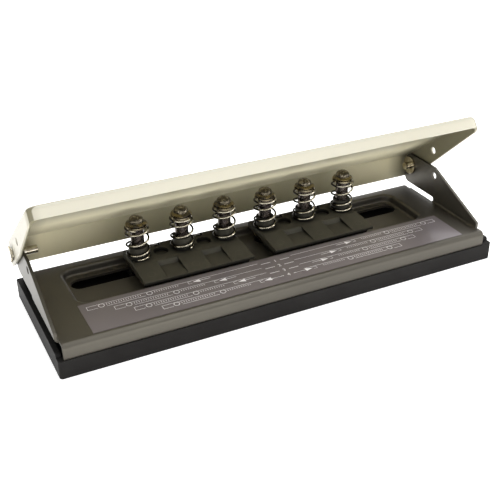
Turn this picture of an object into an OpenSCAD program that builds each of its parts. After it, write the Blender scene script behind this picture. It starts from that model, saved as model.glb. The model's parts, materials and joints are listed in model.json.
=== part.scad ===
// Planner hole punch: a pressed steel frame on a plastic chip tray, a hinged
// sheet steel lever, and two sliding blocks with three sprung punches each.
// X runs along the tray, Y from its front to its back, Z up.
// The origin is the middle of the tray's underside.

/* [Chip tray] */
// Length of the tray, end to end
tray_length = 191.6; // [188:0.4:196]
// Depth of the tray, front to back
tray_depth = 63; // [62:0.5:66]
// Thickness of the tray's walls
tray_wall = 2; // [1.4:0.2:2.2]
// Thickness of the tray's floor
tray_floor = 1.4; // [1:0.2:2]
// Height of the tray's front and back walls
tray_rim = 7.4; // [6.8:0.2:8]
// Height of the tray's end walls
tray_end_height = 8.8; // [8.4:0.2:10]
// Distance from the tray's front and back to the raised part of its end walls
tray_end_start = 3; // [2.4:0.2:6]
// Rounding at the top corners of the end walls
tray_end_round = 1; // [0.4:0.2:1.2]
// Rounding of the tray's outer upright corners
tray_corner_round = 1.2; // [0.6:0.2:3]
// Rounding of the tray's inner upright corners
tray_inner_round = 1; // [0.6:0.2:3]
// Diameter of the posts that carry the deck
post_diameter = 5.4; // [4:0.2:6]
// Distance from the tray's ends to the corner posts
post_inset = 10; // [8:0.5:10.5]
// Distance from the tray's front to the front posts
post_front = 7; // [6:0.5:12]
// Distance from the tray's back to the back posts
post_back = 12; // [11:0.5:16]

/* [Frame] */
// Thickness of the frame's sheet steel
sheet = 1.2; // [1:0.1:1.3]
// Height of the deck's upper face above the table
deck_height = 13.5; // [13.3:0.1:14.5]
// Mean distance from the tray's ends to the ends of the rolled front edge
roll_inset = 3.4; // [3:0.1:5]
// Place of the rolled front edge along the tray, from the tray's middle
roll_shift = -1.2; // [-1.6:0.1:0]
// Depth of the full-length strip behind the rolled front edge
roll_depth = 4.6; // [4:0.2:6]
// Outer radius of the rolled front edge
roll_round = 2; // [1.6:0.2:3]
// Distance from the tray's front and back faces to the frame's skirts
skirt_inset = 0.6; // [0.4:0.1:0.8]
// Depth of the sloping back of the frame
slope_depth = 6.8; // [6:0.2:7.4]
// Outer radius of the bend at the top of the sloping back
slope_round = 3; // [2:0.2:4]
// Place of the punching unit along the tray, from the tray's middle
unit_shift = -2.1; // [-2.4:0.1:-0.6]

/* [Ears] */
// Mean distance from the tray's ends to the outsides of the ears
ear_inset = 2.65; // [2.2:0.05:3.4]
// Inside radius of the bend between deck and ear
ear_bend = 1; // [0.6:0.1:1.4]
// Height of the pivot above the deck
pivot_rise = 10.8; // [10.3:0.1:11.4]
// Distance of the pivot in front of the tray's back
pivot_inset = 9.4; // [8.8:0.1:9.8]
// Height of the ears' tops above the pivot
ear_rise = 5.3; // [4.8:0.1:5.4]
// Distance of the ears' back edges behind the pivot
ear_tail = 3.6; // [3.4:0.1:3.8]
// Distance from the pivot forward to the top of the ears' sloping edge
ear_level = 17.3; // [15:0.5:19]
// Height of the ears' front tips above the deck
ear_tip = 2.7; // [2:0.1:4]
// Length of the ears' free lower edges
relief_length = 22.4; // [19:0.4:25]
// Height of the gap between the deck and the ears' free lower edges
relief_gap = 2; // [1.4:0.1:2.4]
// Rounding at the front end of that gap
relief_round = 0.9; // [0.5:0.1:1.2]
// Rounding of the ears' upper back corners
ear_back_round = 3.4; // [2.6:0.2:3.6]
// Rounding of the ears' lower back corners
ear_low_round = 3; // [2:0.2:4]
// Rounding of the upper ends of the ears' slopes
ear_front_round = 3; // [1:0.2:4]

/* [Recess] */
// Distance from the ears' outsides to the upper rim of the pressed recess
recess_inset = 13.55; // [12.2:0.05:13.8]
// Depth of the recess over its upper rim, front to back
recess_width = 29.3; // [29:0.1:29.8]
// Distance of the recess's back rim in front of the tray's back
recess_back_inset = 10.8; // [10.2:0.1:11]
// Depth of the recess below the deck
recess_depth = 3.3; // [3.1:0.1:3.4]
// Plan radius of the recess's rim corners
recess_corner = 6; // [4.6:0.2:8]
// Inside radius of the bend at the recess's rim
rim_bend = 0.2; // [0.1:0.05:0.3]
// Distance from the rim line to the top of the sloping wall
rim_flat = 1.3; // [1.2:0.05:1.4]
// Distance that the wall leans in on its way down
wall_lean = 0.7; // [0.5:0.05:0.9]
// Inside radius of the bend at the foot of the wall
foot_bend = 1; // [0.6:0.1:1.1]
// Width of the two long slots in the recess's floor
slot_width = 7.7; // [7:0.1:8.4]
// Distance from the recess's upper rim to the outer ends of the slots
slot_inset = 3.3; // [2.9:0.1:3.5]
// Width of the bridge between the two slots
slot_bridge = 10.4; // [9:0.2:11]
// Share of the slots' half width that their corners are rounded by
slot_round_share = 0.96; // [0.8:0.02:0.98]

/* [Gauge label] */
// Distance from the tray's ends to the ends of the label
label_inset = 14.3; // [11:0.1:20]
// Distance of the label's front edge behind the tray's front
label_front = 3.1; // [2.8:0.1:5]
// Gap between the label's back edge and the recess's rim
label_gap = 0.1; // [0:0.1:2]
// Thickness of the label
label_thickness = 0.12; // [0.08:0.02:0.2]

/* [Lever] */
// Distance of the closed lever's front face behind the tray's front
lever_inset = 0.7; // [0:0.1:2]
// Height of the closed lever's top above the pivot
lever_rise = 7; // [6.9:0.1:7.4]
// Height of the lever's front lip
lever_lip = 5.3; // [4.8:0.1:5.8]
// Gap between the lever's flanges and the ears
flange_gap = 0.4; // [0.3:0.05:0.5]
// Outer radius of the lever's folded edges
lever_fold = 2.2; // [1.6:0.1:3]
// Plan radius of the lever's front corners
lever_corner = 4.5; // [4:0.1:6]
// Distance behind the pivot at which the lever's top folds down
skirt_start = 3; // [2.8:0.1:3.2]
// Distance that the back skirt runs back
skirt_run = 6.5; // [6.2:0.1:7]
// Distance that the back skirt runs down
skirt_drop = 9.4; // [8.6:0.1:9.6]
// Distance from the pivot forward to the flanges' lowest front point
flange_waist = 12.2; // [10:0.2:14]
// Depth of the flanges' lower edge below the pivot at that point
flange_drop = 3.5; // [3.2:0.1:4]
// Depth of the flanges' lower back corner below the pivot
flange_foot = 3.7; // [3.6:0.1:4.2]
// Height of the flanges' front end above the pivot
flange_nose = 0.4; // [0.2:0.1:1]
// Rounding of the flanges' lower back corners
flange_round = 1; // [0.6:0.1:1.1]
// Angle at which the lever stands open
open_angle = 37; // [20:1:37]

/* [Pivots and lock holes] */
// Diameter of the pivot pins
pin_diameter = 3.2; // [2.8:0.1:3.4]
// Diameter of the pivot pins' heads
pin_head_diameter = 5.3; // [4.6:0.1:6]
// Thickness of the pivot pins' heads
pin_head_thickness = 1; // [0.8:0.1:1.8]
// Distance that the left pin stands in from its ear
pin_reach_left = 6.7; // [3:0.1:7]
// Distance that the right pin stands in from its ear
pin_reach_right = 3.4; // [2:0.1:7]
// Diameter of the push-on clips
clip_diameter = 8.2; // [6.6:0.2:9]
// Thickness of the push-on clips
clip_thickness = 1; // [0.6:0.1:1.4]
// Distance of the lock holes in front of the pivot
lock_forward = 17.6; // [15:0.2:18.4]
// Height of the lock holes above the pivot
lock_rise = 1.5; // [1:0.1:2]
// Diameter of the lock holes
lock_diameter = 3.2; // [2.4:0.1:3.6]

/* [Blocks] */
// Distance between neighbouring holes
hole_pitch = 19.05; // [18.9:0.05:19.15]
// Distance of the line of holes in front of the recess's back rim
punch_inset = 9; // [8.8:0.1:9.2]
// Distance from the outer holes to the ends of the upper half of a block
guide_end = 4.55; // [4.35:0.05:4.75]
// Distance of the upper half's front edge behind the recess's front rim
guide_front_gap = 1.3; // [1.1:0.1:2.9]
// Distance of the upper half's back edge in front of the recess's back rim
guide_back_gap = 2; // [1.9:0.1:2.2]
// Thickness of the upper half
guide_thickness = 2.5; // [2.3:0.1:3]
// Thickness of the upper half at its front edge and under its pockets
guide_nose = 1; // [0.7:0.1:1.2]
// Distance from the bosses to the top of the ramp
ramp_gap = 2; // [1.4:0.1:2.3]
// Bevel at the ends of the upper half
guide_bevel = 0.5; // [0.3:0.1:0.8]
// Height of the slot for the paper
paper_gap = 0.6; // [0.5:0.1:0.9]
// Depth of the rib that stops the paper
stop_depth = 2.3; // [2:0.1:2.5]
// Distance from the ends of the upper half to that rib
stop_inset = 2.6; // [2.2:0.1:4]
// Diameter of the bosses that guide the punches
boss_diameter = 7.6; // [7:0.1:7.7]
// Height of the bosses above the upper half
boss_rise = 5; // [3:0.2:5.4]
// Width of the pockets in the ramp
pocket_width = 8.8; // [7:0.1:9.6]
// Distance from the top of the ramp to the pockets
pocket_gap = 1.1; // [0.8:0.1:3]
// Lean of the pockets' back walls
pocket_lean = 2; // [1:0.1:3]
// Diameter of the wells between the bosses
well_diameter = 6.2; // [5:0.1:6.6]
// Diameter of the seats of the back screws' heads
screw_seat_diameter = 3.6; // [3.4:0.1:4]
// Distance of the back screws in front of the upper half's back edge
back_screw_inset = 1.3; // [1.2:0.05:1.5]
// Distance from the outer holes to the ends of the lower half of a block
base_end = 3.85; // [3.75:0.05:4.05]
// Distance that the lower half's front edge is set back under the upper half's
base_set_back = 2.8; // [2.4:0.1:3.8]
// Distance that the lower half's back edge is set in
base_back_gap = 0.1; // [0:0.05:0.3]
// Rounding of the lower half's back corners
base_corner = 4; // [3.8:0.1:6]
// Depth of the lower half's top below the deck
base_sink = 0.2; // [0.1:0.05:0.3]
// Bevel at the lower half's bottom edges
base_bevel = 1.2; // [1:0.1:1.3]
// Bevel that leads the paper in
lead_bevel = 0.6; // [0.3:0.1:0.9]
// Thickness of the steel die plate
die_thickness = 1.5; // [1.2:0.1:1.7]
// Width of the steel die plate
die_width = 8.6; // [8.2:0.1:9]
// Distance from the outer holes to the ends of the steel die plate
die_end = 3.55; // [3.4:0.05:3.7]
// Diameter of the chip holes in the lower half
chip_hole = 6.2; // [5.9:0.1:6.4]
// Thickness of the shoe under the recess
shoe_thickness = 1.4; // [1.2:0.1:1.8]
// Width of the shoe
shoe_width = 12.4; // [11:0.2:14]
// Distance from the outer holes to the ends of the shoe
shoe_end = 3.85; // [3.65:0.05:4.05]
// Diameter of the chip holes in the shoe
shoe_hole = 6.4; // [6:0.1:6.7]
// Length of the shoe's necks
neck_length = 9; // [7:0.2:10]

/* [Screws] */
// Diameter of the back screws
back_screw_diameter = 1.4; // [1.2:0.1:1.6]
// Diameter of the back screws' heads
back_head_diameter = 3; // [2.6:0.1:3.2]
// Thickness of the back screws' heads
back_head_thickness = 0.9; // [0.7:0.1:1.2]
// Length of the back screws in the lower half
back_screw_grip = 1.4; // [1:0.1:1.6]
// Diameter of the shoe screws
shoe_screw_diameter = 2.2; // [1.8:0.1:2.6]
// Diameter of the shoe screws' heads
shoe_head_diameter = 4.4; // [3.6:0.1:5]
// Thickness of the shoe screws' heads
shoe_head_thickness = 1.2; // [0.8:0.1:1.4]
// Distance of the shoe screws' ends below the die plate's top
shoe_screw_short = 0.4; // [0.2:0.1:0.8]

/* [Punches] */
// Diameter of the punches
punch_diameter = 5.5; // [5.2:0.1:5.7]
// Height of the punches' tips above the paper slot's roof
tip_lift = 0.1; // [0.05:0.05:0.2]
// Depth of the notch across the punches' tips
tip_notch = 0.8; // [0.4:0.1:1.2]
// Diameter of the brims of the punches' heads
head_diameter = 8.2; // [7.8:0.1:8.6]
// Height of the punches' heads
head_height = 3.8; // [3.4:0.1:3.9]
// Height of the straight side of the brims
head_side = 0.7; // [0.6:0.1:1]
// Bevel under the heads
head_bevel = 0.3; // [0.2:0.1:0.5]
// Height of the slope from a brim to its cap
head_slope = 0.5; // [0.3:0.1:0.8]
// Diameter of the caps of the punches' heads
cap_diameter = 5.8; // [5.6:0.1:6.6]
// Height of the domed part of the caps
cap_dome = 1.9; // [1.2:0.1:2]
// Diameter of the washers under the heads
ring_diameter = 8.9; // [8.7:0.1:9.5]
// Thickness of the washers
ring_thickness = 0.7; // [0.5:0.1:0.8]

/* [Springs] */
// Length of a spring at rest
spring_length = 13.9; // [13.7:0.1:14]
// Mean diameter of a spring's turns
spring_diameter = 9; // [8.9:0.1:9.4]
// Diameter of the spring wire
spring_wire = 0.85; // [0.7:0.05:0.85]
// Number of turns between the bends at a spring's ends
spring_turns = 3.75; // [3:0.25:4.25]
// Rise per turn at the very ends of the coil
spring_end_rise = 0.9; // [0.8:0.1:1.2]
// Radius of the bends between the coil and the upright ends
spring_end_bend = 0.6; // [0.5:0.05:0.8]

/* [Fits] */
// Radial clearance of shafts in their bores
running_fit = 0.05; // [0.02:0.01:0.08]
// Clearance between the sliding blocks and the frame
slide_gap = 0.3; // [0.2:0.05:0.4]
// Clearance under the pivot pins' heads
head_gap = 0.3; // [0.2:0.05:0.4]

/* [Hidden] */

// Overrun of every cut and lap of joined sheets
over = 0.6;
// Segments of a bend and of a dome
bend_steps = 6;
dome_steps = 6;
// Rings per turn and sides of the spring wire, and steps of its end bends
rings_per_turn = 8;
wire_sides = 6;
end_steps = 3;
// Curvature of round solids
$fn = 48;

// Places behind the tray's front
pivot_depth = tray_depth - pivot_inset;
relief_start = pivot_depth + ear_tail - relief_length;
recess_back = tray_depth - recess_back_inset;
recess_front = recess_back - recess_width;
punch_line = recess_back - punch_inset;
guide_back = recess_back - guide_back_gap;
guide_front = recess_front + guide_front_gap;
ramp_start = punch_line - boss_diameter / 2 - ramp_gap;
pocket_back = ramp_start - pocket_gap;
back_screw_line = guide_back - back_screw_inset;
base_front = guide_front + base_set_back;
base_back = guide_back - base_back_gap;
lever_reach = pivot_depth - lever_inset;

// Heights, from the table up
pivot_height = deck_height + pivot_rise;
deck_under = deck_height - sheet;
floor_top = deck_height - recess_depth;
floor_under = floor_top - sheet;
base_bottom = floor_top + slide_gap;
base_top = deck_height - base_sink;
die_bottom = base_top - die_thickness;
guide_bottom = base_top + paper_gap;
guide_top = guide_bottom + guide_thickness;
pocket_floor = guide_bottom + guide_nose;
shoe_top = floor_under - slide_gap;
shoe_bottom = shoe_top - shoe_thickness;
ring_bottom = guide_top + spring_length;
head_bottom = ring_bottom + ring_thickness;
tip_height = guide_bottom + tip_lift;
ear_top = pivot_height + ear_rise;

// Widths, from the middle of the punching unit
ear_out = tray_length / 2 - ear_inset;
ear_in = ear_out - sheet;
deck_side = ear_in - ear_bend;
flange_in = ear_out + flange_gap;
lever_side = flange_in + sheet;
recess_length = 2 * (ear_out - recess_inset);
slot_end = recess_length / 2 - slot_inset;

// Lengths of a block's pieces
hole_span = 2 * hole_pitch;
guide_length = hole_span + 2 * guide_end;
base_length = hole_span + 2 * base_end;
die_length = hole_span + 2 * die_end;
shoe_length = hole_span + 2 * shoe_end;

// Places along the blocks
block_place = hole_pitch * 1.5;
screw_place = hole_pitch / 2;

// Finishes
black_plastic = [0.13, 0.13, 0.14];
frame_paint = [0.46, 0.44, 0.38];
lever_paint = [0.88, 0.86, 0.76];
label_film = [0.40, 0.37, 0.43];
block_plastic = [0.25, 0.24, 0.19];
steel = [0.55, 0.54, 0.53];
dark_steel = [0.24, 0.23, 0.22];
bright_steel = [0.78, 0.75, 0.68];

// Plane geometry of bent sheet

function unit(v) = v / norm(v);
function left_of(v) = [-v[1], v[0]];
function turned(v, a) = [v[0] * cos(a) - v[1] * sin(a), v[0] * sin(a) + v[1] * cos(a)];
function turn_between(u, v) = atan2(u[0] * v[1] - u[1] * v[0], u * v);

// Arc that rounds the corner b between a and c; the radius grows by
// side_step on a right turn and shrinks by it on a left turn
function bend_arc(a, b, c, radius, side_step, steps) =
    let (
        u = unit(b - a),
        v = unit(c - b),
        angle = turn_between(u, v),
        way = sign(angle),
        centre = b - u * radius * tan(abs(angle) / 2) + left_of(u) * radius * way
    )
    [for (k = [0 : steps])
        centre + turned(-left_of(u) * way, angle * k / steps) * (radius - side_step * way)];

// One side of a bent sheet, side_step to the left of the path
function sheet_side(path, radii, side_step) =
    let (
        last = len(path) - 1,
        first_way = left_of(unit(path[1] - path[0])),
        last_way = left_of(unit(path[last] - path[last - 1]))
    )
    concat(
        [path[0] + first_way * side_step],
        [for (i = [1 : last - 1])
            each bend_arc(path[i - 1], path[i], path[i + 1], radii[i - 1], side_step, bend_steps)],
        [path[last] + last_way * side_step]
    );

// Section of a sheet whose upper face follows the path and whose thickness
// lies to the right of it
function sheet_section(path, radii, thickness) =
    let (under = sheet_side(path, radii, -thickness), last = len(under) - 1)
    concat(sheet_side(path, radii, 0), [for (i = [0 : last]) under[last - i]]);

// Closed outline with each corner rounded by its own radius, or left sharp at 0
function rounded(points, radii) =
    let (n = len(points))
    [for (i = [0 : n - 1])
        each (radii[i] == 0
            ? [points[i]]
            : bend_arc(points[(i + n - 1) % n], points[i], points[(i + 1) % n], radii[i], 0, bend_steps))];

// Rectangle from corner to corner with equal rounds
function round_rect(x0, y0, x1, y1, radius) =
    rounded([[x0, y0], [x1, y0], [x1, y1], [x0, y1]], [radius, radius, radius, radius]);

// Section drawn in Y and Z, run along X
module run_x(section, x0, x1) {
    translate([x0, 0, 0]) rotate([90, 0, 90]) linear_extrude(x1 - x0) polygon(section);
}

// Section drawn in X and Z, run along Y
module run_y(section, y0, y1) {
    translate([0, y1, 0]) rotate([90, 0, 0]) linear_extrude(y1 - y0) polygon(section);
}

// Outline drawn in X and Y, run along Z
module run_z(outline, z0, z1) {
    translate([0, 0, z0]) linear_extrude(z1 - z0) polygon(outline);
}

// Round bar along X
module bar_x(x0, x1, diameter) {
    translate([x0, 0, 0]) rotate([0, 90, 0]) cylinder(h = x1 - x0, d = diameter);
}

// Round bar along Z
module bar_z(z0, z1, diameter) {
    translate([0, 0, z0]) cylinder(h = z1 - z0, d = diameter);
}

// Section of inward distance and height, run round a rectangle with round corners
module pressed_rim(x0, y0, x1, y1, radius, section) {
    run_x([for (p = section) [y0 + p[0], p[1]]], x0 + radius, x1 - radius);
    run_x([for (p = section) [y1 - p[0], p[1]]], x0 + radius, x1 - radius);
    run_y([for (p = section) [x0 + p[0], p[1]]], y0 + radius, y1 - radius);
    run_y([for (p = section) [x1 - p[0], p[1]]], y0 + radius, y1 - radius);
    corners = [[x0, y0, 1, 1, 180], [x1, y0, -1, 1, 270], [x1, y1, -1, -1, 0], [x0, y1, 1, -1, 90]];
    for (c = corners)
        translate([c[0] + c[2] * radius, c[1] + c[3] * radius, 0]) rotate([0, 0, c[4]])
            rotate_extrude(angle = 90) polygon([for (p = section) [radius - p[0], p[1]]]);
}

// Places

// Y counted from the tray's front
module from_front() {
    translate([0, -tray_depth / 2, 0]) children();
}

// X counted from the middle of the punching unit
module at_unit() {
    from_front() translate([unit_shift, 0, 0]) children();
}

// X counted from the middle of a block, left -1 or right 1
module at_block(side) {
    at_unit() translate([side * block_place, 0, 0]) children();
}

// The pivot's line, with X counted from the middle of the punching unit
module at_pivot() {
    at_unit() translate([0, pivot_depth, pivot_height]) children();
}

// A punch's line, numbered 1 to 6 from the left
module at_punch(number) {
    at_unit() translate([(number - 3.5) * hole_pitch, punch_line, 0]) children();
}

// A piece and its mirror image at the other end
module both_ends() {
    children();
    mirror([1, 0, 0]) children();
}

// Each of the three holes of a block
module at_holes() {
    for (k = [-1 : 1]) translate([k * hole_pitch, punch_line, 0]) children();
}

// Each of the two screws of a block, on a line behind the tray's front
module at_screws(line) {
    for (k = [-1, 1]) translate([k * screw_place, line, 0]) children();
}

// Chip tray

tray_end_section = let (
    front = tray_end_start,
    back = tray_depth - tray_end_start,
    low = -over,
    far = tray_depth + over
) rounded(
    [[low, low], [far, low], [far, tray_rim], [back, tray_rim],
        [back, tray_end_height], [front, tray_end_height], [front, tray_rim], [low, tray_rim]],
    [0, 0, 0, 0, tray_end_round, tray_end_round, 0, 0]
);

module chip_tray() {
    half = tray_length / 2;
    color(black_plastic) from_front() {
        difference() {
            intersection() {
                run_z(round_rect(-half, 0, half, tray_depth, tray_corner_round), 0, tray_end_height);
                run_x(tray_end_section, -half - over, half + over);
            }
            run_z(
                round_rect(
                    tray_wall - half, tray_wall, half - tray_wall, tray_depth - tray_wall, tray_inner_round
                ),
                tray_floor, tray_end_height + over
            );
        }
        for (x = [post_inset - half, half - post_inset])
            for (y = [post_front, tray_depth - post_back])
                translate([x, y, 0]) bar_z(tray_floor / 2, deck_under, post_diameter);
        translate([0, post_front, 0]) bar_z(tray_floor / 2, deck_under, post_diameter);
    }
}

// Frame

// Sheet from the front skirt over the deck to the foot of the sloping back
deck_section = let (
    foot = tray_depth - skirt_inset,
    steepness = (deck_height - tray_rim) / slope_depth
) sheet_section(
    [[skirt_inset, tray_rim], [skirt_inset, deck_height], [foot - slope_depth, deck_height],
        [foot + sheet, tray_rim - sheet * steepness]],
    [roll_round, slope_round], sheet
);

// Plan of the sheet: the full-length front strip and the deck between the ears
deck_plan = let (
    roll_left = roll_shift - tray_length / 2 + roll_inset,
    roll_right = roll_shift + tray_length / 2 - roll_inset,
    left = unit_shift - deck_side,
    right = unit_shift + deck_side,
    back = tray_depth + over
) [[roll_left, 0], [roll_right, 0], [roll_right, roll_depth], [right, roll_depth],
    [right, back], [left, back], [left, roll_depth], [roll_left, roll_depth]];

module deck_sheet() {
    from_front() difference() {
        intersection() {
            run_x(deck_section, -tray_length / 2, tray_length / 2);
            run_z(deck_plan, 0, deck_height + over);
        }
        run_z(deck_plan, 0, tray_rim);
        translate([unit_shift, 0, 0]) run_z(
            round_rect(-recess_length / 2, recess_front, recess_length / 2, recess_back, recess_corner),
            tray_rim + over, deck_height + over
        );
    }
}

// Section of the recess's wall: distance in from the rim line, and height
foot_reach = rim_flat + wall_lean + foot_bend;
recess_section = sheet_section(
    [[-over, deck_height], [rim_flat, deck_height], [rim_flat + wall_lean, floor_top],
        [foot_reach + over, floor_top]],
    [sheet + rim_bend, foot_bend], sheet
);

module recess_pan() {
    half = recess_length / 2;
    at_unit() difference() {
        union() {
            pressed_rim(-half, recess_front, half, recess_back, recess_corner, recess_section);
            run_z(
                round_rect(
                    foot_reach - half, recess_front + foot_reach,
                    half - foot_reach, recess_back - foot_reach, recess_corner - foot_reach
                ),
                floor_under, floor_top
            );
        }
        both_ends() run_z(
            round_rect(
                slot_bridge / 2, punch_line - slot_width / 2,
                slot_end, punch_line + slot_width / 2, slot_width / 2 * slot_round_share
            ),
            floor_under - over, floor_top + over
        );
    }
}

// Side view of an ear
ear_outline = let (
    back = pivot_depth + ear_tail,
    low = deck_under - over,
    free = deck_height + relief_gap
) rounded(
    [[roll_depth, low], [relief_start, low], [relief_start, free], [back, free],
        [back, ear_top], [pivot_depth - ear_level, ear_top], [roll_depth, deck_height + ear_tip]],
    [0, 0, relief_round, ear_low_round, ear_back_round, ear_front_round, relief_round]
);

// Front view of the bend from deck to ear
ear_section = sheet_section(
    [[deck_side - over, deck_height], [ear_in, deck_height], [ear_in, ear_top + over]],
    [ear_bend], sheet
);

module ear() {
    intersection() {
        run_y(ear_section, 0, tray_depth);
        run_x(ear_outline, deck_side - over, ear_out + over);
    }
}

// Hole for the pivot pin and hole for the lock, through whatever is there
module pivot_and_lock_holes() {
    through = lever_side + over;
    translate([0, pivot_depth, pivot_height]) bar_x(-through, through, pin_diameter + 2 * running_fit);
    translate([0, pivot_depth - lock_forward, pivot_height + lock_rise])
        bar_x(-through, through, lock_diameter);
}

module frame() {
    color(frame_paint) {
        deck_sheet();
        recess_pan();
        at_unit() difference() {
            both_ends() ear();
            pivot_and_lock_holes();
        }
    }
}

module gauge_label() {
    half = tray_length / 2 - label_inset;
    color(label_film) from_front()
        run_z(
            [[-half, label_front], [half, label_front],
                [half, recess_front - label_gap], [-half, recess_front - label_gap]],
            deck_height, deck_height + label_thickness
        );
}

// Lever, drawn closed about the pivot and then turned open

lever_foot = [skirt_start + skirt_run, lever_rise - skirt_drop];
lever_low = -flange_foot - over;

// Side view of the flanges, under the top and ahead of the back skirt
flange_outline = rounded(
    [[-lever_reach - over, lever_rise - lever_lip], [sheet - lever_reach, lever_rise - lever_lip],
        [lever_corner - lever_reach, flange_nose], [-flange_waist, -flange_drop],
        [lever_foot[0], -flange_foot], lever_foot, [skirt_start, lever_rise],
        [-lever_reach - over, lever_rise]],
    [0, 0, 0, lever_fold, flange_round, 0, lever_fold, 0]
);

// Section of the folded edge: distance in from the outer face, and height
fold_section = sheet_section(
    [[0, lever_low], [0, lever_rise], [lever_fold + over, lever_rise]], [lever_fold], sheet
);

// Section of the folded back skirt
skirt_section = sheet_section(
    [[skirt_start - 2 * lever_fold, lever_rise], [skirt_start, lever_rise], lever_foot],
    [lever_fold], sheet
);

// Outer envelope of the lever in front view
lever_envelope = rounded(
    [[-lever_side, lever_low], [lever_side, lever_low],
        [lever_side, lever_rise], [-lever_side, lever_rise]],
    [0, 0, lever_fold, lever_fold]
);

module lever_closed() {
    tail = lever_foot[0] + lever_corner + over;
    difference() {
        union() {
            intersection() {
                union() {
                    pressed_rim(-lever_side, -lever_reach, lever_side, tail, lever_corner, fold_section);
                    run_z(
                        round_rect(
                            lever_fold - lever_side, lever_fold - lever_reach,
                            lever_side - lever_fold, tail - lever_fold, lever_corner - lever_fold
                        ),
                        lever_rise - sheet, lever_rise
                    );
                }
                run_x(flange_outline, -lever_side - over, lever_side + over);
            }
            intersection() {
                run_x(skirt_section, -lever_side - over, lever_side + over);
                run_y(lever_envelope, -lever_reach, tail);
            }
        }
        translate([0, -pivot_depth, -pivot_height]) pivot_and_lock_holes();
    }
}

module press_lever() {
    color(lever_paint) at_pivot() rotate([-open_angle, 0, 0]) lever_closed();
}

// Pivots, left -1 or right 1

module pivot_pin(side) {
    head = lever_side + head_gap;
    color(dark_steel) at_pivot() mirror([side < 0 ? 1 : 0, 0, 0]) {
        bar_x(ear_in - (side < 0 ? pin_reach_left : pin_reach_right), head, pin_diameter);
        bar_x(head, head + pin_head_thickness, pin_head_diameter);
    }
}

module pivot_clip(side) {
    color(steel) at_pivot() mirror([side < 0 ? 1 : 0, 0, 0]) difference() {
        bar_x(ear_in - clip_thickness, ear_in, clip_diameter);
        bar_x(ear_in - clip_thickness - over, ear_in + over, pin_diameter + 2 * running_fit);
    }
}

// Blocks, left -1 or right 1

// Side view of the upper half: ramp, flat and paper stop
guide_section = [
    [guide_front, guide_bottom], [guide_back - stop_depth, guide_bottom],
    [guide_back - stop_depth, base_top], [guide_back, base_top], [guide_back, guide_top],
    [ramp_start, guide_top], [guide_front, pocket_floor]
];

// Side view of a pocket in the ramp
pocket_section = [
    [guide_front - over, pocket_floor], [pocket_back - pocket_lean, pocket_floor],
    [pocket_back, guide_top], [pocket_back, guide_top + over], [guide_front - over, guide_top + over]
];

module punch_guide(side) {
    half = guide_length / 2;
    color(block_plastic) at_block(side) difference() {
        union() {
            intersection() {
                run_x(guide_section, -half, half);
                run_y(
                    [[stop_inset - half, base_top - over], [half - stop_inset, base_top - over],
                        [half - stop_inset, guide_bottom], [half, guide_bottom],
                        [half, guide_top - guide_bevel], [half - guide_bevel, guide_top],
                        [guide_bevel - half, guide_top], [-half, guide_top - guide_bevel],
                        [-half, guide_bottom], [stop_inset - half, guide_bottom]],
                    guide_front - over, guide_back + over
                );
            }
            at_holes() bar_z(pocket_floor, guide_top + boss_rise, boss_diameter);
        }
        at_holes() bar_z(base_top - over, guide_top + boss_rise + over, punch_diameter + 2 * running_fit);
        for (k = [-1, 1]) translate([k * screw_place, 0, 0])
            run_x(pocket_section, -pocket_width / 2, pocket_width / 2);
        at_screws(punch_line) bar_z(pocket_floor, guide_top + over, well_diameter);
        at_screws(back_screw_line) {
            bar_z(pocket_floor, guide_top + over, screw_seat_diameter);
            bar_z(base_top - over, guide_top, back_screw_diameter + 2 * running_fit);
        }
    }
}

// Side view of the lower half, with the channel for the die plate
base_section = let (
    channel_front = punch_line - die_width / 2 - running_fit,
    channel_back = punch_line + die_width / 2 + running_fit
) [
    [base_front, base_bottom], [base_back - base_bevel, base_bottom], [base_back, base_bottom + base_bevel],
    [base_back, base_top], [channel_back, base_top], [channel_back, die_bottom],
    [channel_front, die_bottom], [channel_front, base_top], [base_front + lead_bevel, base_top],
    [base_front, base_top - lead_bevel]
];

module die_base(side) {
    half = base_length / 2;
    color(block_plastic) at_block(side) difference() {
        intersection() {
            run_x(base_section, -half, half);
            run_y(
                [[base_bevel - half, base_bottom], [half - base_bevel, base_bottom],
                    [half, base_bottom + base_bevel], [half, base_top], [-half, base_top],
                    [-half, base_bottom + base_bevel]],
                base_front - over, base_back + over
            );
            run_z(
                rounded(
                    [[-half, base_front], [half, base_front], [half, base_back], [-half, base_back]],
                    [0, 0, base_corner, base_corner]
                ),
                base_bottom - over, base_top + over
            );
        }
        at_holes() bar_z(base_bottom - over, base_top, chip_hole);
        at_screws(punch_line) bar_z(base_bottom - over, base_top, shoe_screw_diameter + 2 * running_fit);
        at_screws(back_screw_line)
            bar_z(base_top - back_screw_grip, base_top + over, back_screw_diameter + 2 * running_fit);
    }
}

module die_plate(side) {
    color(steel) at_block(side) difference() {
        run_z(
            [[-die_length / 2, punch_line - die_width / 2], [die_length / 2, punch_line - die_width / 2],
                [die_length / 2, punch_line + die_width / 2], [-die_length / 2, punch_line + die_width / 2]],
            die_bottom, base_top
        );
        at_holes() bar_z(die_bottom - over, base_top + over, punch_diameter + 2 * running_fit);
        at_screws(punch_line)
            bar_z(die_bottom - over, base_top + over, shoe_screw_diameter + 2 * running_fit);
    }
}

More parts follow.
